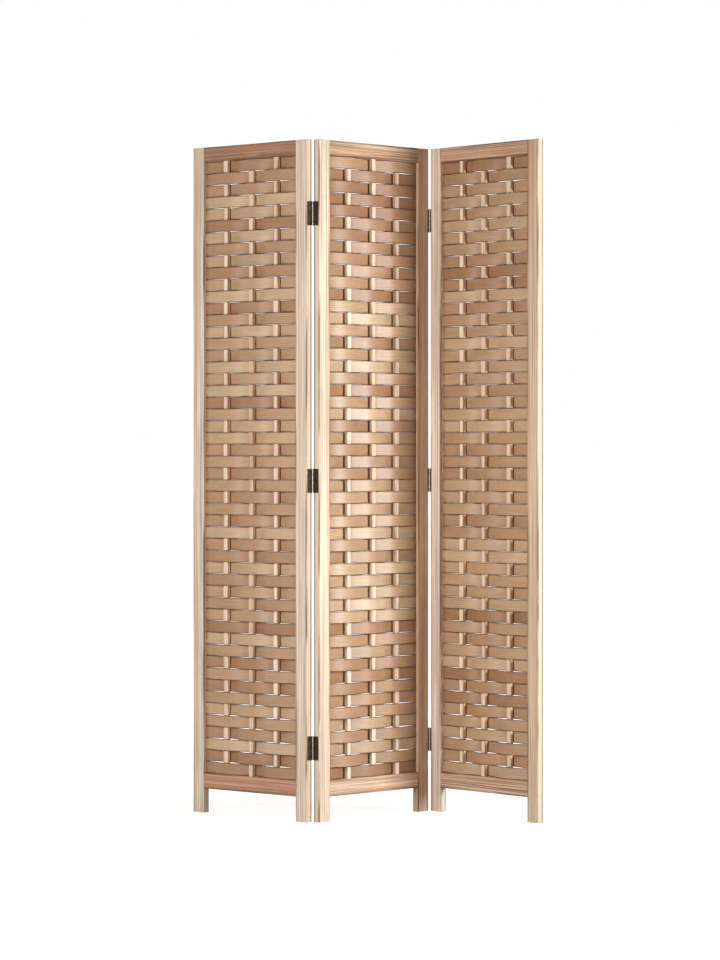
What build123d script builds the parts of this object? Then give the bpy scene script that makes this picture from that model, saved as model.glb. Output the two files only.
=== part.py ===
from build123d import *

import os
from math import atan2, copysign, degrees, sin

# A folding screen of three framed panels, each woven of wide thin strips over upright slats.
# It stands in a zigzag. Millimetres and degrees, Z up, X along the screen, Y away from its front.

# Panel frame
panel_width = 400.0
panel_thickness = 18.0
stile_width = 38.0
top_rail_height = 38.0
bottom_rail_height = 40.0
leg_height = 62.0
edge_round = 1.0

# Turn of each panel out of the screen's line, as it stands
left_panel_angle = 42.6
middle_panel_angle = 46.2
right_panel_angle = 49.5

# Woven strips
strip_count = 52
strip_pitch = 30.0
strip_gap = 0.2
strip_thickness = 2.3
weave_gap = 3.0
groove_depth = 8.0
groove_gap = 0.15
groove_end_gap = 1.0

# Upright slats
slat_count = 3
slat_spacing = 88.0
slat_width = 16.0
slat_thickness = 9.0
slat_round = 1.0
tenon_length = 12.0
tenon_gap = 0.1
tenon_end_gap = 0.5

# Each panel's middle slat stands this far off the panel's middle
left_panel_slat_shift = 2.0
middle_panel_slat_shift = 2.0
right_panel_slat_shift = -6.0

# Dowels between rails and stiles
dowel_radius = 4.0
dowel_length = 40.0
dowel_spacing = 20.0
dowel_gap = 0.05
dowel_end_gap = 0.5
dowel_chamfer = 0.8

# Hinges
hinge_length = 60.0
hinge_from_end = 184.0
leaf_thickness = 1.2
leaf_reach = 15.5
leaf_round = 1.0
leaf_gap = 0.8
knuckle_count = 5
knuckle_radius = 2.75
knuckle_gap = 0.3
knuckle_face_gap = 0.05
notch_gap = 0.3
pin_radius = 1.4
pin_gap = 0.05
pin_chamfer = 0.3

# Hinge screws
leaf_screw_count = 3
screw_spacing = 20.0
screw_radius = 1.5
screw_length = 16.0
screw_tip_length = 3.0
screw_gap = 0.05
recess_length = 3.0
recess_width = 0.7
recess_depth = 0.7

# Opening of a panel's frame, and what fills it
opening_height = strip_count * strip_pitch
opening_width = panel_width - 2 * stile_width
opening_bottom = leg_height + bottom_rail_height
opening_top = opening_bottom + opening_height
screen_height = opening_top + top_rail_height
strip_end_run = groove_depth - groove_end_gap

# A strip swings this far off the panel's middle plane, so that its curved face clears each slat
straight_depth = slat_thickness / 2 + weave_gap + strip_thickness / 2
weave_depth = straight_depth / (1 - (slat_width / slat_spacing) ** 2)

# A hinge line stands outside the panel's face, midway in the gap that flat panels leave
line_x = panel_width / 2 + leaf_thickness + leaf_gap / 2
line_y = panel_thickness / 2 + knuckle_radius + knuckle_face_gap
hinge_heights = {
    "lower": hinge_from_end,
    "centre": screen_height / 2,
    "upper": screen_height - hinge_from_end,
}
bore_radius = pin_radius + pin_gap
screw_head_radius = screw_radius + leaf_thickness
screw_offsets = [(i - (leaf_screw_count - 1) / 2) * screw_spacing for i in range(leaf_screw_count)]

LEFT, RIGHT = -1, 1
FRONT, BACK = -1, 1


def frame_through(turn, own_point, place):
    """Frame of a panel turned about Z, with its own point at the place."""
    frame = Plane.XY.rotated((0, 0, turn))
    return Plane(place - frame.from_local_coords(own_point), frame.x_dir, frame.z_dir)


def corners_of(frame):
    """Centres of the rounded corners of a panel's plan."""
    x = panel_width / 2 - edge_round
    y = panel_thickness / 2 - edge_round
    return [frame.from_local_coords(Vector(*corner)) for corner in ((-x, -y), (x, -y), (x, y), (-x, y))]


def stand_panels():
    """Each panel's frame: X along it, Y from its front to its back, its origin under its middle."""
    middle = frame_through(middle_panel_angle, Vector(), Vector())
    left_line = middle.from_local_coords(Vector(-line_x, line_y))
    right_line = middle.from_local_coords(Vector(line_x, -line_y))
    left = frame_through(-left_panel_angle, Vector(line_x, line_y), left_line)
    right = frame_through(-right_panel_angle, Vector(-line_x, -line_y), right_line)
    frames = (left, middle, right)
    corners = [corner for frame in frames for corner in corners_of(frame)]
    xs = [corner.X for corner in corners]
    ys = [corner.Y for corner in corners]
    centre = Vector((min(xs) + max(xs)) / 2, (min(ys) + max(ys)) / 2)
    return [Plane(frame.origin - centre, frame.x_dir, frame.z_dir) for frame in frames]


def places_of_slats(middle_shift):
    """Middles of a panel's slats along the panel."""
    places = [(i - (slat_count - 1) / 2) * slat_spacing for i in range(slat_count)]
    places[slat_count // 2] += middle_shift
    return places


def save(part, name):
    """Label a finished piece and write it."""
    part.label = name
    export_step(part, f"parts/{name}.step")


def side_plane(frame, side, x, y, z):
    """Plane facing out of a panel's side, at the place given, its X along the panel's Y."""
    return Plane(frame.from_local_coords(Vector(side * x, y, z)), frame.y_dir, frame.x_dir * side)


def dowel_heights():
    """Heights of the dowels at a stile, two in each rail."""
    middles = (leg_height + bottom_rail_height / 2, opening_top + top_rail_height / 2)
    return [middle + shift for middle in middles for shift in (-dowel_spacing / 2, dowel_spacing / 2)]


def make_stile(name, frame, side, hinge_face):
    """Upright at one side of a panel, its end the leg. Its hinges stand off the face given, if any."""
    inner_x = opening_width / 2
    with BuildPart() as stile:
        with BuildSketch(frame):
            with Locations((side * (inner_x + stile_width / 2), 0)):
                RectangleRounded(stile_width, panel_thickness, edge_round)
        extrude(amount=screen_height)
        with BuildSketch(frame.offset(opening_bottom)):
            with Locations((side * (inner_x + groove_depth / 2), 0)):
                Rectangle(groove_depth, strip_thickness + 2 * groove_gap)
        extrude(amount=opening_height, mode=Mode.SUBTRACT)
        with BuildSketch(*[side_plane(frame, side, inner_x, 0, z) for z in dowel_heights()]):
            Circle(dowel_radius + dowel_gap)
        extrude(amount=dowel_length / 2 + dowel_end_gap, mode=Mode.SUBTRACT)
        if hinge_face:
            screw_y = hinge_face * (panel_thickness - leaf_reach) / 2
            heights = [z + offset for z in hinge_heights.values() for offset in screw_offsets]
            with BuildSketch(*[side_plane(frame, side, panel_width / 2, screw_y, z) for z in heights]):
                Circle(screw_radius + screw_gap)
            extrude(amount=-screw_length, mode=Mode.SUBTRACT)
    save(stile.part, name)


def make_rail(name, frame, bottom, height, slat_side, slat_places):
    """Rail between the stiles, with mortises for the slats in its edge on the side given."""
    end_x = opening_width / 2
    middle = bottom + height / 2
    with BuildPart() as rail:
        with BuildSketch(side_plane(frame, LEFT, end_x, 0, middle)):
            RectangleRounded(panel_thickness, height, edge_round)
        extrude(amount=-opening_width)
        for side in (LEFT, RIGHT):
            with BuildSketch(side_plane(frame, side, end_x, 0, middle)):
                with GridLocations(0, dowel_spacing, 1, 2):
                    Circle(dowel_radius + dowel_gap)
            extrude(amount=-dowel_length / 2 - dowel_end_gap, mode=Mode.SUBTRACT)
        with BuildSketch(frame.offset(middle + slat_side * height / 2)):
            with Locations([(x, 0) for x in slat_places]):
                Rectangle(slat_width + 2 * tenon_gap, slat_thickness + 2 * tenon_gap)
        extrude(amount=-slat_side * (tenon_length + tenon_end_gap), mode=Mode.SUBTRACT)
    save(rail.part, name)


def make_dowels(name, frame):
    """A panel's dowels, half in a stile and half in a rail."""
    middle_x = opening_width / 2 - dowel_length / 2
    places = [side_plane(frame, side, middle_x, 0, z) for side in (LEFT, RIGHT) for z in dowel_heights()]
    with BuildPart() as dowels:
        with BuildSketch(*places):
            Circle(dowel_radius)
        extrude(amount=dowel_length)
        chamfer(dowels.edges().filter_by(GeomType.CIRCLE), dowel_chamfer)
    save(dowels.part, name)


def make_slat(name, frame, x):
    """Upright slat, its ends in the mortises of both rails."""
    with BuildPart() as slat:
        with BuildSketch(frame.offset(opening_bottom - tenon_length)):
            with Locations((x, 0)):
                RectangleRounded(slat_width, slat_thickness, slat_round)
        extrude(amount=opening_height + 2 * tenon_length)
    save(slat.part, name)


def strip_edge(slat_places, outer_side, shift):
    """A long edge of a strip's plan, shifted towards the back of the line that the strip follows."""
    stops = [-opening_width / 2, *slat_places, opening_width / 2]
    levels = [0, *[outer_side * (-1) ** i * weave_depth for i in range(slat_count)], 0]
    edge = Line((stops[0] - strip_end_run, shift), (stops[0], shift))
    for i in range(slat_count + 1):
        run = stops[i + 1] - stops[i]
        turn = 2 * atan2(levels[i + 1] - levels[i], run)
        radius = run / 2 / sin(abs(turn))
        for bend in (turn, -turn):
            edge = JernArc(edge @ 1, edge % 1, radius - shift * copysign(1, bend), degrees(bend))
    Line(edge @ 1, edge @ 1 + Vector(strip_end_run, 0))


def make_strips(name, frame, first, outer_side, slat_places):
    """Every second strip, counted down from the top, passing the outer slats on the side given."""
    end_x = opening_width / 2 + strip_end_run
    half = strip_thickness / 2
    bottoms = [opening_top - i * strip_pitch + strip_gap / 2 for i in range(first, strip_count + 1, 2)]
    with BuildPart() as strips:
        with BuildSketch(*[frame.offset(z) for z in bottoms]):
            with BuildLine():
                strip_edge(slat_places, outer_side, -half)
                strip_edge(slat_places, outer_side, half)
                Line((-end_x, -half), (-end_x, half))
                Line((end_x, -half), (end_x, half))
            make_face()
        extrude(amount=strip_pitch - strip_gap)
    save(strips.part, name)


def make_panel(name, frame, left_hinge_face, right_hinge_face, top_strip_side, middle_slat_shift):
    """All wooden pieces of a panel. The top strip passes the outer slats on the side given."""
    slat_places = places_of_slats(middle_slat_shift)
    make_stile(f"{name}_left_stile", frame, LEFT, left_hinge_face)
    make_stile(f"{name}_right_stile", frame, RIGHT, right_hinge_face)
    make_rail(f"{name}_bottom_rail", frame, leg_height, bottom_rail_height, 1, slat_places)
    make_rail(f"{name}_top_rail", frame, opening_top, top_rail_height, -1, slat_places)
    make_dowels(f"{name}_dowels", frame)
    for number, x in enumerate(slat_places, 1):
        make_slat(f"{name}_slat_{number}", frame, x)
    make_strips(f"{name}_odd_strips", frame, 1, top_strip_side, slat_places)
    make_strips(f"{name}_even_strips", frame, 2, -top_strip_side, slat_places)


def hinge_frame(panel, side, face, height):
    """Frame on a hinge line for the leaf at a panel's side: X off the stile, Y off the panel's face."""
    origin = panel.from_local_coords(Vector(side * line_x, face * line_y, height))
    return Plane(origin, panel.x_dir * side, panel.z_dir * (side * face))


def leaf_plane(hinge, y=0, z=0):
    """Plane on the outer face of a leaf, at the place given along the leaf."""
    return Plane(hinge.from_local_coords(Vector(-leaf_gap / 2, y, z)), hinge.y_dir, hinge.x_dir)


def screw_planes(hinge):
    """Planes on a leaf's outer face at its screws, halfway along the leaf."""
    screw_y = panel_thickness / 2 - line_y - leaf_reach / 2
    return [leaf_plane(hinge, screw_y, offset) for offset in screw_offsets]


def make_leaf(name, hinge, first_knuckle):
    """Hinge leaf with every second knuckle from the given one on, notched at the others."""
    slot = hinge_length / knuckle_count
    middles = [(i - (knuckle_count - 1) / 2) * slot for i in range(knuckle_count)]
    own_middles = middles[first_knuckle::2]
    other_middles = middles[1 - first_knuckle :: 2]
    far_y = panel_thickness / 2 - line_y - leaf_reach
    notch_y = -knuckle_radius - notch_gap
    with BuildPart() as leaf:
        with BuildSketch(leaf_plane(hinge)) as plate:
            with Locations((far_y, 0)):
                Rectangle(-bore_radius - far_y, hinge_length, align=(Align.MIN, Align.CENTER))
            fillet(plate.vertices().group_by(Axis.X)[0], leaf_round)
            with Locations([(notch_y, z) for z in other_middles]):
                Rectangle(-notch_y, slot, align=(Align.MIN, Align.CENTER), mode=Mode.SUBTRACT)
        extrude(amount=-leaf_thickness)
        with BuildSketch(*[hinge.offset(z) for z in own_middles]):
            Circle(knuckle_radius)
        extrude(amount=(slot - knuckle_gap) / 2, both=True)
        with BuildSketch(hinge):
            Circle(bore_radius)
        extrude(amount=hinge_length / 2, both=True, mode=Mode.SUBTRACT)
        with Locations(*screw_planes(hinge)):
            CounterSinkHole(screw_radius + screw_gap, screw_head_radius + screw_gap, leaf_thickness, 90)
    save(leaf.part, name)


def make_pin(name, hinge):
    """Hinge pin through all knuckles."""
    with BuildPart() as pin:
        with BuildSketch(hinge):
            Circle(pin_radius)
        extrude(amount=hinge_length / 2, both=True)
        chamfer(pin.edges().filter_by(GeomType.CIRCLE), pin_chamfer)
    save(pin.part, name)


def make_screws(name, hinges):
    """Countersunk screws of the leaves at one stile, their heads flush with the leaves."""
    with BuildPart() as screws:
        for place in [plane for hinge in hinges for plane in screw_planes(hinge)]:
            with BuildSketch(Plane(place.origin, place.x_dir, place.y_dir)):
                with BuildLine():
                    Polyline(
                        (0, 0),
                        (screw_head_radius, 0),
                        (screw_radius, leaf_thickness),
                        (screw_radius, screw_length - screw_tip_length),
                        (0, screw_length),
                        close=True,
                    )
                make_face()
            revolve(axis=Axis(place.origin, place.z_dir))
            with BuildSketch(place):
                Rectangle(recess_length, recess_width)
                Rectangle(recess_width, recess_length)
            extrude(amount=-recess_depth, mode=Mode.SUBTRACT)
    save(screws.part, name)


def make_hinges(name, left_frame, right_frame, face):
    """Hinges and screws between two panels, their line off the face given."""
    left_hinges = {level: hinge_frame(left_frame, RIGHT, face, z) for level, z in hinge_heights.items()}
    right_hinges = {level: hinge_frame(right_frame, LEFT, face, z) for level, z in hinge_heights.items()}
    for level in hinge_heights:
        make_leaf(f"{name}_{level}_left_leaf", left_hinges[level], 0)
        make_leaf(f"{name}_{level}_right_leaf", right_hinges[level], 1)
        make_pin(f"{name}_{level}_pin", left_hinges[level])
    make_screws(f"{name}_left_screws", left_hinges.values())
    make_screws(f"{name}_right_screws", right_hinges.values())
    line = left_hinges["centre"].origin
    print(f"{name} line at x {line.X:.4f}, y {line.Y:.4f}")


os.makedirs("parts", exist_ok=True)
left_panel, middle_panel, right_panel = stand_panels()
make_panel("left_panel", left_panel, None, BACK, BACK, left_panel_slat_shift)
make_panel("middle_panel", middle_panel, BACK, FRONT, FRONT, middle_panel_slat_shift)
make_panel("right_panel", right_panel, FRONT, None, BACK, right_panel_slat_shift)
make_hinges("left_hinge", left_panel, middle_panel, BACK)
make_hinges("right_hinge", middle_panel, right_panel, FRONT)
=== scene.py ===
import math
import random

import bmesh
import bpy
import numpy as np
from mathutils import Matrix, Vector


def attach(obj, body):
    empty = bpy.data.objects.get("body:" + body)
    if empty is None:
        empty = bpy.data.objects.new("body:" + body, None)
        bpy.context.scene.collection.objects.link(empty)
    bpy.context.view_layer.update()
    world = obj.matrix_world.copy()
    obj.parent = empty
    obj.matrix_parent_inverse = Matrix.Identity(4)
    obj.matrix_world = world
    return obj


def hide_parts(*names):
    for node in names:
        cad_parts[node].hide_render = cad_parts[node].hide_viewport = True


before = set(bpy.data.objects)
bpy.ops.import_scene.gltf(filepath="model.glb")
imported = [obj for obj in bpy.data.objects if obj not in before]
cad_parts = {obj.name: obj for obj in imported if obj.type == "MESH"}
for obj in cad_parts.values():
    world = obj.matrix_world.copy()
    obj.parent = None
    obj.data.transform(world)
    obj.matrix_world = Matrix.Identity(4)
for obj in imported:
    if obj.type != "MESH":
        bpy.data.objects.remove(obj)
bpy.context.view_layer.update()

# Sizes in metres. Each panel has its own frame: X along it, Y from its front to its back, Z up.
PANEL_WIDTH, PANEL_THICKNESS = 0.400, 0.018
STILE_WIDTH, TOP_RAIL, BOTTOM_RAIL, LEG = 0.038, 0.038, 0.040, 0.062
EDGE_ROUND = 0.001
TURNS = {"left_panel": -42.6, "middle_panel": 46.2, "right_panel": -49.5}

STRIP_COUNT, STRIP_PITCH, STRIP_GAP, STRIP_THICKNESS = 52, 0.030, 0.0002, 0.0023
STRIP_ROUND, WEAVE_GAP = 0.00105, 0.003
GROOVE_DEPTH, GROOVE_GAP, GROOVE_END_GAP = 0.008, 0.00015, 0.001
SLAT_COUNT, SLAT_WIDTH, SLAT_THICKNESS, SLAT_ROUND = 3, 0.016, 0.009, 0.001
TENON, TENON_GAP, TENON_END_GAP = 0.012, 0.0001, 0.0005
DOWEL_RADIUS, DOWEL_LENGTH, DOWEL_SPACING = 0.004, 0.040, 0.020
DOWEL_GAP, DOWEL_END_GAP, DOWEL_CHAMFER = 0.00005, 0.0005, 0.0008

LEAF_THICKNESS, LEAF_REACH, LEAF_GAP = 0.0012, 0.0155, 0.0008
KNUCKLE_RADIUS, KNUCKLE_FACE_GAP, KNUCKLE_SLOT = 0.00275, 0.00005, 0.012
HINGE_FROM_END, SCREW_SPACING = 0.184, 0.020
SCREW_RADIUS, SCREW_GAP, SCREW_LENGTH, SCREW_TIP = 0.0015, 0.00005, 0.016, 0.003
RECESS_LENGTH, RECESS_WIDTH, RECESS_DEPTH = 0.003, 0.0007, 0.0007

OPENING_HEIGHT = STRIP_COUNT * STRIP_PITCH
OPENING_WIDTH = PANEL_WIDTH - 2 * STILE_WIDTH
OPENING_BOTTOM = LEG + BOTTOM_RAIL
OPENING_TOP = OPENING_BOTTOM + OPENING_HEIGHT
HEIGHT = OPENING_TOP + TOP_RAIL
SLAT_SPACING = 0.088
SLAT_PLACES = {name: (-SLAT_SPACING, shift, SLAT_SPACING) for name, shift in
               (("left_panel", 0.002), ("middle_panel", 0.002), ("right_panel", -0.006))}
WEAVE_CLEARANCE = SLAT_THICKNESS / 2 + WEAVE_GAP + STRIP_THICKNESS / 2
WEAVE_DEPTH = WEAVE_CLEARANCE / (1 - (SLAT_WIDTH / SLAT_SPACING) ** 2)
LINE_X = PANEL_WIDTH / 2 + LEAF_THICKNESS + LEAF_GAP / 2
LINE_Y = PANEL_THICKNESS / 2 + KNUCKLE_RADIUS + KNUCKLE_FACE_GAP
HINGE_HEIGHTS = (HINGE_FROM_END, HEIGHT / 2, HEIGHT - HINGE_FROM_END)
SCREW_HEIGHTS = [z + offset for z in HINGE_HEIGHTS for offset in (-SCREW_SPACING, 0, SCREW_SPACING)]
SCREW_Y = LINE_Y - PANEL_THICKNESS / 2 + LEAF_REACH / 2

BOARD_OFFSET = (11.0, 13.0, 17.0)  # moves each board's grain by its tone, so that no two are alike
FOLD_BACK_DARK = (70, 56, 40)
ROW_GAP_SHADE, END_SHADE = (72, 44, 27), (124, 84, 56)
PALE_FLECK = (0.84, 0.74, 0.60, 1)

FLOOR_RADIUS, FLOOR_SIDES = 60, 96
CAMERA_PLACE = (-0.014046, -8.864390, 0.919205)
CAMERA_LENS, CAMERA_SENSOR, CAMERA_SHIFT_UP = 131.504, 36.0, -0.02808
LAMP_TARGET_HEIGHT = 0.85
LAMPS = (  # name, azimuth, distance, height, size, watts, tint
    ("key", 58.0, 3.0, 1.0, (0.75, 1.3), 109, (0.95, 0.985, 1.0)),
    ("fill", -36, 2.7, 1.0, (0.9, 1.8), 60, (0.98, 0.985, 1.0)),
    ("back_right", 150, 4.2, 2.0, (2.0, 2.0), 80, (1.0, 1.0, 1.0)),
    ("back_left", -150, 4.2, 2.0, (2.0, 2.0), 80, (1.0, 1.0, 1.0)))

random.seed(52)


# Where each panel stands


def turned(degrees, own_point, place):
    """Frame turned about Z, with its own point at the place."""
    turn = Matrix.Rotation(math.radians(degrees), 4, "Z")
    return Matrix.Translation(place - turn @ own_point) @ turn


def stand_panels():
    """Frame of each panel in the zigzag, centred on the plan's box."""
    middle = turned(TURNS["middle_panel"], Vector(), Vector())
    left = turned(TURNS["left_panel"], Vector((LINE_X, LINE_Y, 0)),
                  middle @ Vector((-LINE_X, LINE_Y, 0)))
    right = turned(TURNS["right_panel"], Vector((-LINE_X, -LINE_Y, 0)),
                   middle @ Vector((LINE_X, -LINE_Y, 0)))
    panels = {"left_panel": left, "middle_panel": middle, "right_panel": right}
    x, y = PANEL_WIDTH / 2 - EDGE_ROUND, PANEL_THICKNESS / 2 - EDGE_ROUND
    corners = [stand @ Vector((side * x, face * y, 0))
               for stand in panels.values() for side in (-1, 1) for face in (-1, 1)]
    centre = Vector([(min(c[k] for c in corners) + max(c[k] for c in corners)) / 2
                     for k in (0, 1)] + [0])
    return {name: Matrix.Translation(-centre) @ m for name, m in panels.items()}


PANELS = stand_panels()
HINGE_LINES = [tuple((PANELS["middle_panel"] @ Vector((side * LINE_X, -side * LINE_Y, 0)))[:2])
               for side in (-1, 1)]


# Meshes


def outline(half_a, half_d, radius, steps=3, beside=0.001):
    """Rounded rectangle, with points beside each rounding that keep its flats flat when smooth."""
    points = []
    for k, (sign_a, sign_d) in enumerate(((1, 1), (-1, 1), (-1, -1), (1, -1))):
        centre = (sign_a * (half_a - radius), sign_d * (half_d - radius))
        arc = []
        for i in range(steps + 1):
            angle = math.pi / 2 * (k + i / steps)
            arc.append((centre[0] + radius * math.cos(angle), centre[1] + radius * math.sin(angle)))
        along = ((0, 1), (-1, 0), (0, -1), (1, 0))[k]
        after = ((-1, 0), (0, -1), (1, 0), (0, 1))[k]
        flats = (half_d, half_a, half_d, half_a)
        if flats[k] > radius + beside:
            points.append((arc[0][0] - along[0] * beside, arc[0][1] - along[1] * beside))
        points += arc
        if flats[k - 1] > radius + beside:
            points.append((arc[-1][0] + after[0] * beside, arc[-1][1] + after[1] * beside))
    return points


def skin(rings):
    """Faces of a closed skin over rings of equal length, with a cap at each end."""
    count = len(rings[0])
    faces = [tuple(reversed(range(count)))]
    for r in range(len(rings) - 1):
        low, high = r * count, (r + 1) * count
        for i in range(count):
            j = (i + 1) % count
            faces.append((low + i, low + j, high + j, high + i))
    faces.append(tuple(range((len(rings) - 1) * count, len(rings) * count)))
    return [point for ring in rings for point in ring], faces


def bar(length, half_a, half_d, radius, ease=0.0004):
    """Straight bar along X, its long edges rounded and its ends eased."""
    half = length / 2
    full = outline(half_a, half_d, radius)
    small = outline(half_a - ease, half_d - ease, max(radius - ease, 0.0002))
    places = [(-half, small), (-half + ease, full), (-half + 4 * ease, full)]
    places += [(-x, section) for x, section in reversed(places)]
    return skin([[(x, a, d) for a, d in section] for x, section in places])


def block(size_x, size_a, size_d, centre):
    """Box for cutting."""
    x, a, d = centre
    ring = [(a - size_a / 2, d - size_d / 2), (a + size_a / 2, d - size_d / 2)]
    ring += [(a + size_a / 2, d + size_d / 2), (a - size_a / 2, d + size_d / 2)]
    return skin([[(x + end, p, q) for p, q in ring] for end in (-size_x / 2, size_x / 2)])


def lathe(profile, count, axis, centre):
    """Closed body turned about an axis: profile holds pairs of place along the axis and radius."""
    along = Vector(axis).normalized()
    side = along.orthogonal().normalized()
    other = along.cross(side)
    rings = []
    for place, radius in profile:
        ring = []
        for i in range(count):
            angle = 2 * math.pi * i / count
            spoke = side * math.cos(angle) + other * math.sin(angle)
            ring.append(tuple(Vector(centre) + along * place + spoke * radius))
        rings.append(ring)
    return skin(rings)


def join(meshes):
    """One list of points and faces from several."""
    points, faces = [], []
    for own_points, own_faces in meshes:
        start = len(points)
        points += own_points
        faces += [tuple(i + start for i in face) for face in own_faces]
    return points, faces


def mesh_object(name, mesh):
    """Object made of points and faces, with its normals outward."""
    data = bpy.data.meshes.new(name)
    data.from_pydata(mesh[0], [], mesh[1])
    work = bmesh.new()
    work.from_mesh(data)
    bmesh.ops.recalc_face_normals(work, faces=work.faces)
    work.to_mesh(data)
    work.free()
    obj = bpy.data.objects.new(name, data)
    bpy.context.scene.collection.objects.link(obj)
    return obj


def cut(obj, cutters):
    """Takes the cutters out of the object."""
    tool = mesh_object("cutter", join(cutters))
    change = obj.modifiers.new("cut", "BOOLEAN")
    change.operation = "DIFFERENCE"
    change.solver = "EXACT"
    change.object = tool
    done = bpy.data.meshes.new_from_object(obj.evaluated_get(bpy.context.evaluated_depsgraph_get()))
    obj.modifiers.clear()
    old = obj.data
    obj.data = done
    done.name = obj.name
    bpy.data.meshes.remove(old)
    bpy.data.objects.remove(tool)


def smooth(obj, degrees=32):
    """Smooth shading with sharp edges kept."""
    obj.data.shade_smooth()
    obj.data.set_sharp_from_angle(angle=math.radians(degrees))


def mark(obj, name, values):
    """Vector kept at each point of the mesh."""
    layer = obj.data.attributes.new(name, "FLOAT_VECTOR", "POINT")
    layer.data.foreach_set("vector", np.asarray(values, np.float32).ravel())


def own_points(obj):
    """The mesh's points as an array."""
    points = np.zeros(len(obj.data.vertices) * 3, np.float32)
    obj.data.vertices.foreach_get("co", points)
    return points.reshape(-1, 3)


def tone():
    """Three chance values that set one board apart from the next."""
    return [random.random() for _ in range(3)]


def fit_member(name, body, obj, half, placing, material, board=None):
    """Marks a straight member's grain, places it in its panel and lets it stand for its node."""
    points = own_points(obj)
    mark(obj, "place", points)
    mark(obj, "half", np.tile(half, (len(points), 1)))
    drawn = board or tone()
    mark(obj, "tone", np.tile(CHOSEN_TONES.get(name, drawn), (len(points), 1)))
    obj.data.transform(PANELS[body] @ placing)
    smooth(obj)
    finish_piece(name, body, obj, material)


def finish_piece(name, body, obj, material):
    """Name, finish and motion of a piece that stands for the node of its name."""
    obj.name = obj.data.name = name + "_made"
    obj.data.materials.clear()
    obj.data.materials.append(material)
    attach(obj, body)
    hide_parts(name)


# Materials


def colour(red, green, blue):
    """Linear colour of one that is written as it looks."""
    def linear(value):
        value /= 255
        return value / 12.92 if value <= 0.04045 else ((value + 0.055) / 1.055) ** 2.4

    return (linear(red), linear(green), linear(blue), 1)


class Shader:
    """A material's nodes, written as expressions."""

    def __init__(self, name):
        self.material = bpy.data.materials.new(name)
        self.material.use_nodes = True
        self.nodes = self.material.node_tree.nodes
        self.links = self.material.node_tree.links
        self.nodes.clear()

    def put(self, socket, value):
        if isinstance(value, bpy.types.NodeSocket):
            self.links.new(value, socket)
        elif value is not None:
            socket.default_value = value

    def node(self, kind, inputs=None, **settings):
        made = self.nodes.new(kind)
        for key, value in settings.items():
            setattr(made, key, value)
        for key, value in (inputs or {}).items():
            self.put(made.inputs[key], value)
        return made

    def math(self, operation, a, b=None, c=None):
        values = {i: v for i, v in enumerate((a, b, c)) if v is not None}
        return self.node("ShaderNodeMath", values, operation=operation).outputs[0]

    def vector(self, operation, a, b=None, c=None):
        values = {i: v for i, v in enumerate((a, b, c)) if v is not None}
        made = self.node("ShaderNodeVectorMath", values, operation=operation)
        return made.outputs["Value" if operation in ("LENGTH", "DOT_PRODUCT") else "Vector"]

    def attribute(self, name):
        return self.node("ShaderNodeAttribute", attribute_name=name).outputs["Vector"]

    def split(self, vector):
        return self.node("ShaderNodeSeparateXYZ", {0: vector}).outputs

    def noise(self, vector, stretch, detail=2.0, roughness=0.5):
        place = self.vector("MULTIPLY", vector, stretch)
        inputs = {"Vector": place, "Scale": 1.0, "Detail": detail, "Roughness": roughness}
        return self.node("ShaderNodeTexNoise", inputs).outputs["Fac"]

    def spread(self, value, low, high, to_low=0.0, to_high=1.0):
        inputs = {0: value, 1: low, 2: high, 3: to_low, 4: to_high}
        return self.node("ShaderNodeMapRange", inputs, interpolation_type="SMOOTHSTEP").outputs[0]

    def ramp(self, value, stops):
        made = self.node("ShaderNodeValToRGB", {0: value})
        elements = made.color_ramp.elements
        while len(elements) < len(stops):
            elements.new(0.5)
        for element, (place, shade) in zip(elements, stops):
            element.position = place
            element.color = shade if hasattr(shade, "__len__") else (shade, shade, shade, 1)
        return made.outputs[0]

    def mix(self, amount, a, b, blend="MIX"):
        made = self.nodes.new("ShaderNodeMix")
        made.data_type = "RGBA"
        made.blend_type = blend
        self.put(made.inputs[0], amount)
        self.put(made.inputs[6], a)
        self.put(made.inputs[7], b)
        return made.outputs[2]

    def lit(self, shade, light):
        """The colour made lighter or darker."""
        made = self.node("ShaderNodeVectorMath", {0: shade}, operation="SCALE")
        self.put(made.inputs["Scale"], light)
        return made.outputs["Vector"]

    def bump(self, height, distance, strength):
        inputs = {"Height": height, "Distance": distance, "Strength": strength}
        return self.node("ShaderNodeBump", inputs).outputs[0]

    def finish(self, shade, roughness, normal, metallic=0.0, specular=0.5):
        inputs = {"Base Color": shade, "Roughness": roughness, "Normal": normal}
        inputs.update({"Metallic": metallic, "Specular IOR Level": specular})
        shader = self.node("ShaderNodeBsdfPrincipled", inputs)
        output = self.node("ShaderNodeOutputMaterial")
        self.links.new(shader.outputs[0], output.inputs[0])
        return self.material


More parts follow.
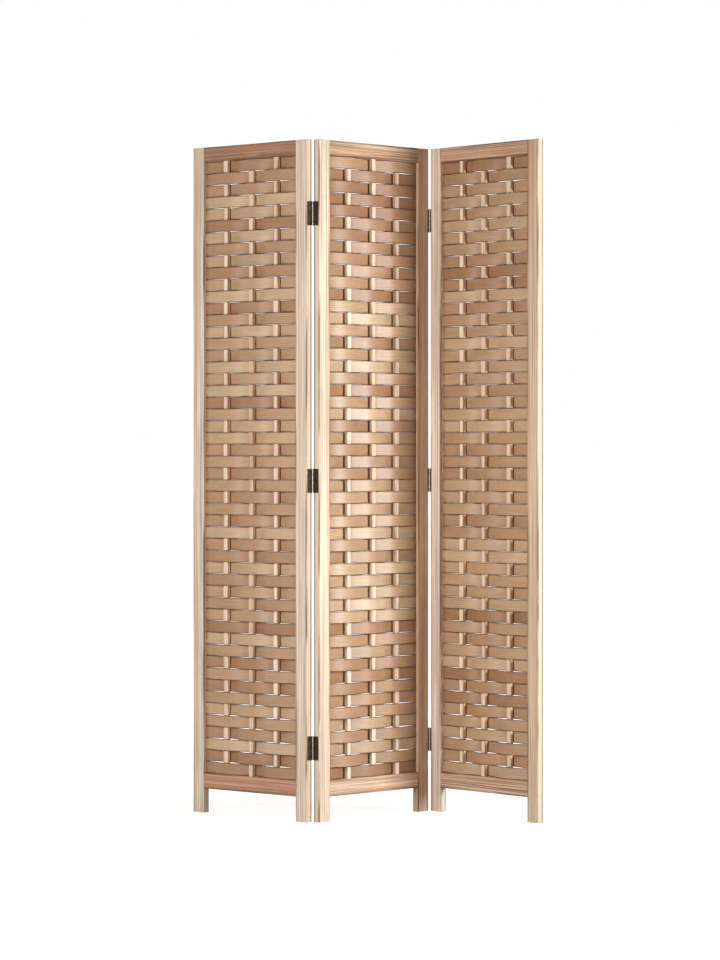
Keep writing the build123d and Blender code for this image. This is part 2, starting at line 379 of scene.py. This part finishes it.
def sawn_wood(name, early, late, warm, grey, red, tan, toast, pitch, ring_share, waver, vary):
    """Planed and brushed solid wood: rings round a heart outside the board, streaks, toasted edges.

    A member marked at the fold is also darker along the back of its narrow face there.
    """
    s = Shader(name)
    place, half, board = s.attribute("place"), s.attribute("half"), s.attribute("tone")
    x, a, d = s.split(place)
    board_x, board_a, board_d = s.split(board)
    at = s.vector("MULTIPLY_ADD", board, BOARD_OFFSET, place)

    # Rings: distance from the heart, which lies beside and behind the board
    heart = s.math("MULTIPLY_ADD", board_x, 1.1, 0.25)
    reach = s.math("MULTIPLY_ADD", board_a, 0.05, 0.05)
    waver_a = s.math("MULTIPLY", s.math("SUBTRACT", s.noise(at, (2.6, 16, 16), 2), 0.5), waver)
    waver_d = s.math("MULTIPLY", s.math("SUBTRACT", s.noise(at, (7, 60, 60), 2), 0.5), waver * 0.3)
    slant = s.math("MULTIPLY", s.math("SUBTRACT", board_d, 0.5), 0.012)
    ring_a = s.math("ADD", a, s.math("MULTIPLY_ADD", s.math("COSINE", heart), reach, waver_a))
    ring_d = s.math("ADD", d, s.math("MULTIPLY_ADD", s.math("SINE", heart), reach, waver_d))
    square = s.math("ADD", s.math("MULTIPLY", ring_a, ring_a), s.math("MULTIPLY", ring_d, ring_d))
    radius = s.math("ADD", s.math("SQRT", square), s.math("MULTIPLY", x, slant))
    year = s.math("ADD", s.math("DIVIDE", radius, pitch), s.noise(at, (1.2, 110, 110), 1))
    ring = s.ramp(s.math("FRACT", year),
                  [(0.0, 0.1), (0.45, 0.3), (0.78, 0.75), (0.92, 1.0), (1.0, 0.1)])
    strength = s.spread(s.noise(at, (1.8, 45, 45), 1), 0.3, 0.7, 0.35, 1.0)
    ring = s.math("MULTIPLY", s.math("MULTIPLY", ring, strength), ring_share)

    # Fibres and pores, streaks from brushing, and broad bands of another hue
    fibre = s.noise(at, (14, 620, 620), 3, 0.6)
    fine = s.noise(at, (60, 2600, 2600), 2, 0.6)
    pores = s.spread(s.noise(at, (42, 1500, 1500), 2), 0.60, 0.72)
    streak = s.spread(s.noise(at, (1.6, 150, 150), 2), 0.45, 0.60)
    thread = s.spread(s.noise(at, (2.6, 420, 420), 2), 0.50, 0.66)
    band = s.spread(s.noise(at, (0.9, 62, 62), 1), 0.44, 0.60)
    blotch = s.spread(s.noise(at, (5.0, 30, 30), 2), 0.25, 0.75, 0.93, 1.07)

    shade = s.mix(ring, early, late)
    shade = s.mix(s.math("MULTIPLY", band, 0.65), shade, warm)
    shade = s.mix(s.math("MULTIPLY", streak, 0.65), shade, grey)
    shade = s.mix(s.spread(board_x, 0.78, 0.95, 0.0, 0.55), shade, red)
    patch = s.spread(s.noise(at, (1.3, 34, 34), 2), 0.54, 0.70, 0.0, 0.5)
    shade = s.mix(patch, shade, red)
    shade = s.mix(s.math("MULTIPLY", thread, 0.62), shade, late)
    shade = s.mix(s.math("MULTIPLY", pores, 0.4), shade, late)
    light = s.math("MULTIPLY", s.spread(fibre, 0.25, 0.75, 0.91, 1.07), blotch)
    light = s.math("MULTIPLY", light, s.spread(fine, 0.25, 0.75, 0.96, 1.04))
    light = s.math("MULTIPLY", light, s.math("MULTIPLY_ADD", board_d, vary, 1 - vary / 2))
    shade = s.lit(shade, light)

    # Narrow faces tanned, and edges toasted brown, unevenly
    _, half_a, half_d = s.split(half)
    from_a = s.math("SUBTRACT", half_a, s.math("ABSOLUTE", a))
    from_d = s.math("SUBTRACT", half_d, s.math("ABSOLUTE", d))
    tanned = s.math("MULTIPLY", s.spread(from_a, 0.0, 0.002, 1.0, 0.0),
                    s.spread(blotch, 0.95, 1.05, 0.55, 0.8))
    shade = s.mix(tanned, shade, tan)
    dark_edges = s.spread(s.math("ADD", from_a, from_d), 0.0012, 0.0052, 1.0, 0.0)
    share = s.math("MULTIPLY", s.spread(d, 0.003, 0.006),
                   s.spread(s.noise(at, (3, 9, 9), 2), 0.35, 0.55, 0.5, 1.0))
    share = s.math("MAXIMUM", share, s.spread(s.noise(at, (4, 45, 45), 2), 0.40, 0.60, 0.05, 0.8))
    dark_edges = s.math("MULTIPLY", dark_edges, share)
    shade = s.mix(dark_edges, shade, toast)
    # Darker along the back of the narrow face at the fold
    outward = s.math("MULTIPLY", a, s.split(s.attribute("fold_side"))[0])
    fold_back_dark = s.math("MULTIPLY", s.spread(s.math("SUBTRACT", outward, half_a), -0.0012, -0.0004),
                     s.spread(d, 0.0045, 0.0062))
    fold_back_dark = s.math("MULTIPLY", fold_back_dark, s.spread(s.noise(at, (5, 5, 5), 2), 0.3, 0.6, 0.55, 0.95))
    shade = s.mix(fold_back_dark, shade, colour(*FOLD_BACK_DARK))

    height = s.math("ADD", s.math("MULTIPLY", fibre, 0.6), s.math("MULTIPLY", ring, -0.5))
    height = s.math("ADD", height, s.math("MULTIPLY", pores, -0.5))
    rough = s.spread(fibre, 0.2, 0.8, 0.46, 0.66)
    return s.finish(shade, rough, s.bump(height, 0.00025, 0.6), specular=0.35)


def veneer(name, hues, line, specular):
    """Thin sliced strip: fine level grain, each of its own hue, painted shade along its long edges
    between the rows and near its ends by the stiles.
    """
    s = Shader(name)
    place, half, board = s.attribute("place"), s.attribute("half"), s.attribute("tone")
    x, a, d = s.split(place)
    board_x, board_a, board_d = s.split(board)
    at = s.vector("MULTIPLY_ADD", board, BOARD_OFFSET, place)

    base = s.ramp(board_x, hues)
    waver = s.math("MULTIPLY", s.math("SUBTRACT", s.noise(at, (7, 40, 40), 2), 0.5), 0.006)
    row = s.math("DIVIDE", s.math("ADD", a, waver), s.math("MULTIPLY_ADD", board_a, 0.003, 0.0022))
    ring = s.ramp(s.math("FRACT", s.math("ADD", row, s.noise(at, (3, 90, 90), 1))),
                  [(0.0, 0.0), (0.5, 0.25), (0.85, 0.9), (1.0, 0.0)])
    fibre = s.noise(at, (20, 700, 700), 3, 0.6)
    fine = s.noise(at, (160, 2600, 2600), 2, 0.7)
    fleck = s.spread(s.noise(at, (210, 900, 900), 2, 0.6), 0.58, 0.74)
    blotch = s.spread(s.noise(at, (9, 30, 30), 2), 0.25, 0.75, 0.94, 1.06)
    grainy = s.spread(board_d, 0.2, 0.8, 0.35, 1.0)

    shade = s.mix(s.math("MULTIPLY", ring, s.math("MULTIPLY", grainy, 0.55)), base, line)
    flecks = s.math("MULTIPLY", fleck, s.math("MULTIPLY", grainy, 0.25))
    shade = s.mix(flecks, shade, PALE_FLECK)
    light = s.math("MULTIPLY", s.spread(fibre, 0.25, 0.75, 0.88, 1.12), blotch)
    light = s.math("MULTIPLY", light, s.spread(fine, 0.2, 0.8, 0.94, 1.06))
    light = s.math("MULTIPLY", light, s.math("MULTIPLY_ADD", board_a, 0.12, 0.94))
    shade = s.lit(shade, light)

    half_x, half_a, half_d = s.split(half)
    from_a = s.math("SUBTRACT", half_a, s.math("ABSOLUTE", a))
    from_d = s.math("SUBTRACT", half_d, s.math("ABSOLUTE", d))
    # Painted shade along the long edges, where the rows meet
    near = s.math("MULTIPLY_ADD", from_d, 0.3, from_a)
    dark_edges = s.math("MULTIPLY", s.spread(near, 0.0008, 0.0028, 1.0, 0.0),
                   s.spread(s.noise(at, (40, 40, 40), 2), 0.35, 0.65, 0.65, 1.0))
    shade = s.mix(dark_edges, shade, colour(*ROW_GAP_SHADE))
    # Painted shade on each strip near its ends, by the stiles
    from_end = s.math("SUBTRACT", s.math("ADD", half_x, 0.008), s.math("ABSOLUTE", x))
    end_shade = s.math("MULTIPLY", s.spread(from_end, 0.004, 0.020, 1.0, 0.0),
                    s.spread(s.noise(at, (30, 60, 60), 2), 0.3, 0.7, 0.2, 0.8))
    shade = s.mix(end_shade, shade, colour(*END_SHADE))

    height = s.math("ADD", s.math("MULTIPLY", fibre, 0.7), s.math("MULTIPLY", fine, 0.3))
    rough = s.spread(fibre, 0.2, 0.8, 0.34, 0.50)
    return s.finish(shade, rough, s.bump(height, 0.0002, 0.5), specular=specular)


def aged_metal(name, dark, wear_and_highlight_shade, scratched, polish):
    """Dark metal, scuffed bright at the knuckles' ends and in scratches, with a painted highlight
    down the front of each barrel.
    """
    s = Shader(name)
    at = s.node("ShaderNodeTexCoord").outputs["Object"]
    x, y, z = s.split(at)
    mottle = s.noise(at, (260, 260, 260), 4, 0.6)
    speck = s.spread(s.noise(at, (1500, 1500, 1500), 2), 0.62, 0.75)
    scratch = s.spread(s.noise(at, (2200, 2200, 180), 2), 0.64, 0.74)
    ends = []
    for height in HINGE_HEIGHTS:
        step = s.math("DIVIDE", s.math("SUBTRACT", z, height - KNUCKLE_SLOT / 2), KNUCKLE_SLOT)
        off = s.math("ABSOLUTE", s.math("SUBTRACT", s.math("FRACT", step), 0.5))
        near = s.math("LESS_THAN", s.math("ABSOLUTE", s.math("SUBTRACT", z, height)), 0.032)
        ends.append(s.math("MULTIPLY", s.spread(off, 0.42, 0.49), near))
    end = s.math("MAXIMUM", s.math("MAXIMUM", ends[0], ends[1]), ends[2])
    end = s.math("MULTIPLY", end, s.spread(mottle, 0.42, 0.62, 0.0, 0.6))
    wear_and_highlight = s.math("MULTIPLY", scratch, scratched)
    for line_x, line_y in HINGE_LINES:
        beside = s.math("ABSOLUTE", s.math("SUBTRACT", x, line_x))
        before = s.math("SUBTRACT", line_y, y)
        barrel = s.math("LESS_THAN", s.math("MAXIMUM", beside, s.math("ABSOLUTE", before)), 0.0029)
        wear_and_highlight = s.math("MAXIMUM", wear_and_highlight, s.math("MULTIPLY", end, barrel))
        # Painted highlight: a bright line down the front of each barrel, standing in for the lamps'
        # reflection
        painted_crest_highlight = s.math("MULTIPLY", s.spread(beside, 0.0003, 0.0011, 1.0, 0.0),
                       s.spread(before, 0.0015, 0.0025))
        painted_crest_highlight = s.math("MULTIPLY", painted_crest_highlight, s.math("LESS_THAN", before, 0.003))
        crest_highlight_share = s.math("MULTIPLY", painted_crest_highlight, s.spread(mottle, 0.3, 0.6, 0.5, 0.9))
        wear_and_highlight = s.math("MAXIMUM", wear_and_highlight, crest_highlight_share)
    shade = s.mix(s.spread(mottle, 0.3, 0.7), dark, tuple(v * 1.45 for v in dark[:3]) + (1,))
    shade = s.mix(s.math("MULTIPLY", speck, 0.15), shade, wear_and_highlight_shade)
    shade = s.mix(wear_and_highlight, shade, wear_and_highlight_shade)
    rough = s.math("SUBTRACT", s.spread(mottle, 0.3, 0.7, polish, polish + 0.12),
                   s.math("MULTIPLY", wear_and_highlight, 0.08))
    height = s.math("ADD", mottle, s.math("MULTIPLY", scratch, -0.6))
    return s.finish(shade, rough, s.bump(height, 0.00006, 0.25), metallic=0.85)


STILE_WOOD = sawn_wood("stile_wood", early=colour(249, 234, 216), late=colour(172, 130, 102),
                       warm=colour(248, 224, 194), grey=colour(206, 181, 161),
                       red=colour(196, 144, 102), tan=colour(214, 188, 160),
                       toast=colour(88, 60, 38),
                       pitch=0.0036, ring_share=0.8, waver=0.006, vary=0.10)
RAIL_WOOD = sawn_wood("rail_wood", early=colour(234, 206, 178), late=colour(108, 64, 40),
                      warm=colour(212, 164, 128), grey=colour(172, 134, 110),
                      red=colour(166, 108, 76), tan=colour(180, 136, 102),
                      toast=colour(88, 56, 36),
                      pitch=0.0044, ring_share=0.95, waver=0.012, vary=0.30)
SLAT_WOOD = sawn_wood("slat_wood", early=colour(252, 236, 214), late=colour(200, 162, 130),
                      warm=colour(243, 212, 180), grey=colour(232, 212, 192),
                      red=colour(214, 164, 130), tan=colour(230, 196, 166),
                      toast=colour(140, 100, 72),
                      pitch=0.0032, ring_share=0.5, waver=0.004, vary=0.18)
DOWEL_WOOD = sawn_wood("dowel_wood", early=colour(226, 200, 164), late=colour(188, 152, 116),
                       warm=colour(224, 192, 150), grey=colour(212, 192, 168),
                       red=colour(208, 164, 120), tan=colour(214, 180, 140),
                       toast=colour(160, 124, 90),
                       pitch=0.0028, ring_share=0.5, waver=0.003, vary=0.10)
STRIP_WOOD = veneer("strip_wood", [(0.0, colour(160, 117, 84)), (0.25, colour(177, 138, 105)),
                                   (0.5, colour(184, 148, 114)), (0.75, colour(190, 157, 122)),
                                   (1.0, colour(202, 174, 140))], colour(130, 88, 58), 0.5)
BRONZE = aged_metal("aged_bronze", colour(76, 66, 52), colour(196, 184, 166), 0.15, 0.26)
SCREW_BRONZE = aged_metal("screw_bronze", colour(52, 44, 34), colour(84, 74, 60), 0.1, 0.5)
STEEL = aged_metal("pin_steel", colour(96, 92, 86), colour(176, 172, 164), 0.6, 0.22)


# Frames: uprights, rails and slats. Members are made along X, then stood up where they are upright.

# Tones that follow the photograph in place of chance. The reddest board draws none of its own.
REDDEST = [0.97, 0.4, 0.4]
CHOSEN_TONES = {"left_panel_left_stile": [0.45, 0.5, 0.4],
                "left_panel_top_rail": [0.97, 0.4, 0.15],
                "right_panel_bottom_rail": [0.5, 0.5, 0.75]}
UPRIGHT = Matrix(((0, 1, 0, 0), (0, 0, 1, 0), (1, 0, 0, 0), (0, 0, 0, 1)))
LEVEL = Matrix(((1, 0, 0, 0), (0, 0, 1, 0), (0, 1, 0, 0), (0, 0, 0, 1)))
DOWEL_HEIGHTS = [middle + shift for middle in (LEG + BOTTOM_RAIL / 2, OPENING_TOP + TOP_RAIL / 2)
                 for shift in (-DOWEL_SPACING / 2, DOWEL_SPACING / 2)]


def make_stile(panel, side, hinge_face):
    """Upright at a panel's side, grooved for the strips and bored for dowels and hinge screws."""
    middle_z = HEIGHT / 2
    inner = -side * STILE_WIDTH / 2
    bore, depth = DOWEL_RADIUS + DOWEL_GAP, DOWEL_LENGTH / 2 + DOWEL_END_GAP
    obj = mesh_object("stile", bar(HEIGHT, STILE_WIDTH / 2, PANEL_THICKNESS / 2, EDGE_ROUND))
    cutters = [block(OPENING_HEIGHT, 2 * GROOVE_DEPTH, STRIP_THICKNESS + 2 * GROOVE_GAP,
                     ((OPENING_BOTTOM + OPENING_TOP) / 2 - middle_z, inner, 0))]
    for z in DOWEL_HEIGHTS:
        cutters.append(lathe([(-0.004, bore), (depth, bore)], 24, (0, side, 0),
                             (z - middle_z, inner, 0)))
    if hinge_face:
        screw_y = hinge_face * (PANEL_THICKNESS - LEAF_REACH) / 2
        hole = SCREW_RADIUS + SCREW_GAP
        for z in SCREW_HEIGHTS:
            cutters.append(lathe([(-0.002, hole), (SCREW_LENGTH, hole)], 16, (0, -side, 0),
                                 (z - middle_z, -inner, screw_y)))
    cut(obj, cutters)
    if hinge_face > 0:
        mark(obj, "fold_side", [(side, 0, 0)] * len(obj.data.vertices))
    placing = Matrix.Translation((side * (PANEL_WIDTH - STILE_WIDTH) / 2, 0, middle_z)) @ UPRIGHT
    name = f"{panel}_{'right' if side > 0 else 'left'}_stile"
    board = REDDEST if name == "middle_panel_right_stile" else None
    half = (HEIGHT / 2, STILE_WIDTH / 2, PANEL_THICKNESS / 2)
    fit_member(name, panel, obj, half, placing, STILE_WOOD, board)


def make_rail(panel, which, bottom, height, slat_side):
    """Rail between the stiles, bored for its dowels and mortised for the slats."""
    obj = mesh_object("rail", bar(OPENING_WIDTH, height / 2, PANEL_THICKNESS / 2, EDGE_ROUND))
    bore, depth = DOWEL_RADIUS + DOWEL_GAP, DOWEL_LENGTH / 2 + DOWEL_END_GAP
    cutters = []
    for side in (-1, 1):
        for shift in (-DOWEL_SPACING / 2, DOWEL_SPACING / 2):
            cutters.append(lathe([(-0.004, bore), (depth, bore)], 24, (-side, 0, 0),
                                 (side * OPENING_WIDTH / 2, shift, 0)))
    for x in SLAT_PLACES[panel]:
        cutters.append(block(SLAT_WIDTH + 2 * TENON_GAP, 2 * (TENON + TENON_END_GAP),
                             SLAT_THICKNESS + 2 * TENON_GAP, (x, slat_side * height / 2, 0)))
    cut(obj, cutters)
    placing = Matrix.Translation((0, 0, bottom + height / 2)) @ LEVEL
    fit_member(f"{panel}_{which}_rail", panel, obj,
               (OPENING_WIDTH / 2, height / 2, PANEL_THICKNESS / 2), placing, RAIL_WOOD)


def make_slat(panel, number, x):
    """Upright slat, its ends in the rails' mortises."""
    length = OPENING_HEIGHT + 2 * TENON
    obj = mesh_object("slat", bar(length, SLAT_WIDTH / 2, SLAT_THICKNESS / 2, SLAT_ROUND))
    placing = Matrix.Translation((x, 0, (OPENING_BOTTOM + OPENING_TOP) / 2)) @ UPRIGHT
    fit_member(f"{panel}_slat_{number}", panel, obj,
               (length / 2, SLAT_WIDTH / 2, SLAT_THICKNESS / 2), placing, SLAT_WOOD)


def make_dowels(panel):
    """A panel's dowels, half in a stile and half in a rail."""
    half = DOWEL_LENGTH / 2
    profile = [(-half, DOWEL_RADIUS - DOWEL_CHAMFER), (-half + DOWEL_CHAMFER, DOWEL_RADIUS)]
    profile += [(-x, radius) for x, radius in reversed(profile)]
    bodies, places, boards = [], [], []
    for side in (-1, 1):
        for z in DOWEL_HEIGHTS:
            points, faces = lathe(profile, 24, (1, 0, 0), (0, 0, 0))
            places += points
            boards += [tone()] * len(points)
            end = side * OPENING_WIDTH / 2
            bodies.append(([(x + end, y, z + up) for x, y, up in points], faces))
    obj = mesh_object("dowels", join(bodies))
    mark(obj, "place", places)
    mark(obj, "half", [(half, DOWEL_RADIUS, DOWEL_RADIUS)] * len(places))
    mark(obj, "tone", boards)
    obj.data.transform(PANELS[panel])
    smooth(obj)
    finish_piece(f"{panel}_dowels", panel, obj, DOWEL_WOOD)


# Woven strips


def weave_line(slats, outer_side, steps=6):
    """Middle line of a strip in plan, two arcs a bay: x, y, heading, length from its middle."""
    levels = [0] + [outer_side * (-1) ** i * WEAVE_DEPTH for i in range(SLAT_COUNT)] + [0]
    end_run = GROOVE_DEPTH - GROOVE_END_GAP
    start = -OPENING_WIDTH / 2
    stops = [start, *slats, -start]
    line = [(start - end_run, 0.0, 0.0), (start, 0.0, 0.0)]
    for left, right, low, high in zip(stops, stops[1:], levels, levels[1:]):
        turn = 2 * math.atan2(high - low, right - left)
        radius = (right - left) / 2 / math.sin(turn)
        for i in range(1, steps + 1):
            angle = turn * i / steps
            run, rise = radius * math.sin(angle), radius * (1 - math.cos(angle))
            line.append((left + run, low + rise, angle))
        for i in range(steps - 1, -1, -1):
            angle = turn * i / steps
            run, rise = radius * math.sin(angle), radius * (1 - math.cos(angle))
            line.append((right - run, high - rise, angle))
    line.append((-start + end_run, 0.0, 0.0))
    lengths = [0.0]
    for (x, y, _), (next_x, next_y, _) in zip(line, line[1:]):
        lengths.append(lengths[-1] + math.hypot(next_x - x, next_y - y))
    return [(*spot, length - lengths[-1] / 2) for spot, length in zip(line, lengths)]


def make_strips(panel, which, first, outer_side):
    """Every second strip of a panel, counted down from the top."""
    half_height, half_thick = (STRIP_PITCH - STRIP_GAP) / 2, STRIP_THICKNESS / 2
    section = outline(half_height, half_thick, STRIP_ROUND, 3, 0.0004)
    line = weave_line(SLAT_PLACES[panel], outer_side)
    bodies, places, boards = [], [], []
    for number in range(first, STRIP_COUNT + 1, 2):
        middle_z = OPENING_TOP - (number - 0.5) * STRIP_PITCH + random.uniform(-0.00004, 0.00004)
        own = tone()
        rings = []
        for x, y, heading, length in line:
            side_x, side_y = -math.sin(heading), math.cos(heading)
            rings.append([(x + side_x * t, y + side_y * t, middle_z + a) for a, t in section])
            places += [(length, a, t) for a, t in section]
            boards += [own] * len(section)
        bodies.append(skin(rings))
    obj = mesh_object("strips", join(bodies))
    mark(obj, "place", places)
    mark(obj, "half", [(OPENING_WIDTH / 2, half_height, half_thick)] * len(places))
    mark(obj, "tone", boards)
    obj.data.transform(PANELS[panel])
    smooth(obj, 40)
    finish_piece(f"{panel}_{which}_strips", panel, obj, STRIP_WOOD)


# Each panel's hinged faces at its left and right, 1 for the back, and the side its top strip takes
for panel, left_face, right_face, top_side in (("left_panel", 0, 1, 1),
                                               ("middle_panel", 1, -1, -1),
                                               ("right_panel", -1, 0, 1)):
    make_stile(panel, -1, left_face)
    make_stile(panel, 1, right_face)
    make_rail(panel, "bottom", LEG, BOTTOM_RAIL, 1)
    make_rail(panel, "top", OPENING_TOP, TOP_RAIL, -1)
    make_dowels(panel)
    for number, x in enumerate(SLAT_PLACES[panel], 1):
        make_slat(panel, number, x)
    make_strips(panel, "odd", 1, top_side)
    make_strips(panel, "even", 2, -top_side)


# Hinge screws


def make_screws(hinge, which, panel, side, face):
    """The nine countersunk screws of the leaves at one stile."""
    head = SCREW_RADIUS + LEAF_THICKNESS
    profile = [(0, head - 0.00015), (0.0001, head), (LEAF_THICKNESS, SCREW_RADIUS),
               (SCREW_LENGTH - SCREW_TIP, SCREW_RADIUS), (SCREW_LENGTH, 0.0001)]
    x = side * (PANEL_WIDTH / 2 + LEAF_THICKNESS)
    y = face * (LINE_Y - SCREW_Y)
    long, wide = RECESS_LENGTH / 2, RECESS_WIDTH / 2
    arm = [(wide, wide), (wide, long), (-wide, long)]
    cross = []
    for _ in range(4):
        cross += arm
        arm = [(-d, a) for a, d in arm]
    bodies, cutters = [], []
    for z in SCREW_HEIGHTS:
        bodies.append(lathe(profile, 32, (-side, 0, 0), (x, y, z)))
        spin = Matrix.Translation((x, y, z)) @ Matrix.Rotation(random.uniform(0, math.pi), 4, "X")
        points, faces = skin([[(depth, a, d) for a, d in cross]
                              for depth in (-RECESS_DEPTH, RECESS_DEPTH)])
        cutters.append(([tuple(spin @ Vector(p)) for p in points], faces))
    obj = mesh_object("screws", join(bodies))
    cut(obj, cutters)
    obj.data.transform(PANELS[panel])
    smooth(obj)
    finish_piece(f"{hinge}_{which}_screws", panel, obj, SCREW_BRONZE)


make_screws("left_hinge", "left", "left_panel", 1, 1)
make_screws("left_hinge", "right", "middle_panel", -1, 1)
make_screws("right_hinge", "left", "middle_panel", 1, -1)
make_screws("right_hinge", "right", "right_panel", -1, -1)

for name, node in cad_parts.items():
    if name.endswith("_leaf"):
        finish = BRONZE
    elif name.endswith("_pin"):
        finish = STEEL
    else:
        continue
    node.data.materials.clear()
    node.data.materials.append(finish)


# Floor, light and camera


def make_floor():
    """Pale floor that shows white round the screen's shadow."""
    angles = [2 * math.pi * i / FLOOR_SIDES for i in range(FLOOR_SIDES)]
    rim = [(FLOOR_RADIUS * math.cos(angle), FLOOR_RADIUS * math.sin(angle), 0) for angle in angles]
    floor = mesh_object("floor", (rim, [tuple(range(FLOOR_SIDES))]))
    s = Shader("pale_floor")
    place = s.node("ShaderNodeTexCoord").outputs["Object"]
    soft = s.noise(place, (1.5, 1.5, 1.5), 2)
    shade = s.mix(soft, (0.36, 0.335, 0.305, 1), (0.38, 0.355, 0.325, 1))
    plain = s.node("ShaderNodeBsdfDiffuse", {"Color": shade}).outputs[0]
    away = s.spread(s.vector("LENGTH", place), 0.8, 2.6, 0.8, 1.0)
    glow = s.node("ShaderNodeEmission", {"Color": (1, 1, 1, 1), "Strength": away}).outputs[0]
    both = s.node("ShaderNodeAddShader", {0: plain, 1: glow}).outputs[0]
    seen = s.node("ShaderNodeLightPath").outputs
    direct = s.math("MAXIMUM", seen["Is Camera Ray"], seen["Is Glossy Ray"])
    direct = s.math("MAXIMUM", direct, seen["Is Transmission Ray"])
    mixed = s.node("ShaderNodeMixShader", {0: direct, 1: plain, 2: both}).outputs[0]
    s.links.new(mixed, s.node("ShaderNodeOutputMaterial").inputs[0])
    floor.data.materials.append(s.material)


def make_world():
    """White to the camera and in reflections, and a soft even light otherwise."""
    world = bpy.data.worlds.new("studio")
    bpy.context.scene.world = world
    world.use_nodes = True
    nodes, links = world.node_tree.nodes, world.node_tree.links
    nodes.clear()
    seen = nodes.new("ShaderNodeLightPath").outputs
    first = nodes.new("ShaderNodeMath")
    second = nodes.new("ShaderNodeMath")
    for part in (first, second):
        part.operation = "MAXIMUM"
    links.new(seen["Is Camera Ray"], first.inputs[0])
    links.new(seen["Is Glossy Ray"], first.inputs[1])
    links.new(first.outputs[0], second.inputs[0])
    links.new(seen["Is Transmission Ray"], second.inputs[1])
    ambient = nodes.new("ShaderNodeBackground")
    ambient.inputs["Color"].default_value = (1.0, 0.86, 0.70, 1)
    ambient.inputs["Strength"].default_value = 0.06
    white = nodes.new("ShaderNodeBackground")
    white.inputs["Color"].default_value = (1, 1, 1, 1)
    white.inputs["Strength"].default_value = 1.0
    mixed = nodes.new("ShaderNodeMixShader")
    links.new(second.outputs[0], mixed.inputs[0])
    links.new(ambient.outputs[0], mixed.inputs[1])
    links.new(white.outputs[0], mixed.inputs[2])
    links.new(mixed.outputs[0], nodes.new("ShaderNodeOutputWorld").inputs[0])


def make_light(name, azimuth, distance, height, size, watts, tint):
    """Soft upright lamp that looks at the screen: azimuth 0 is in front, 90 at its right."""
    lamp = bpy.data.lights.new(name, "AREA")
    lamp.shape = "RECTANGLE"
    lamp.size, lamp.size_y = size
    lamp.energy = watts
    lamp.color = tint
    obj = bpy.data.objects.new(name, lamp)
    angle = math.radians(azimuth)
    obj.location = (math.sin(angle) * distance, -math.cos(angle) * distance, height)
    to_screen = Vector((0, 0, LAMP_TARGET_HEIGHT)) - obj.location
    obj.rotation_euler = to_screen.to_track_quat("-Z", "Y").to_euler()
    bpy.context.scene.collection.objects.link(obj)


def make_camera():
    """Level camera at the photograph's place."""
    data = bpy.data.cameras.new("camera")
    data.sensor_fit = "AUTO"
    data.sensor_width = CAMERA_SENSOR
    data.lens = CAMERA_LENS
    data.shift_x = 0.0
    data.shift_y = CAMERA_SHIFT_UP
    data.clip_start, data.clip_end = 0.1, 200.0
    obj = bpy.data.objects.new("camera", data)
    obj.location = CAMERA_PLACE
    obj.rotation_euler = (math.pi / 2, 0, 0)
    bpy.context.scene.collection.objects.link(obj)
    bpy.context.scene.camera = obj


make_floor()
make_world()
for lamp in LAMPS:
    make_light(*lamp)
make_camera()
bpy.context.scene.view_settings.view_transform = "Standard"
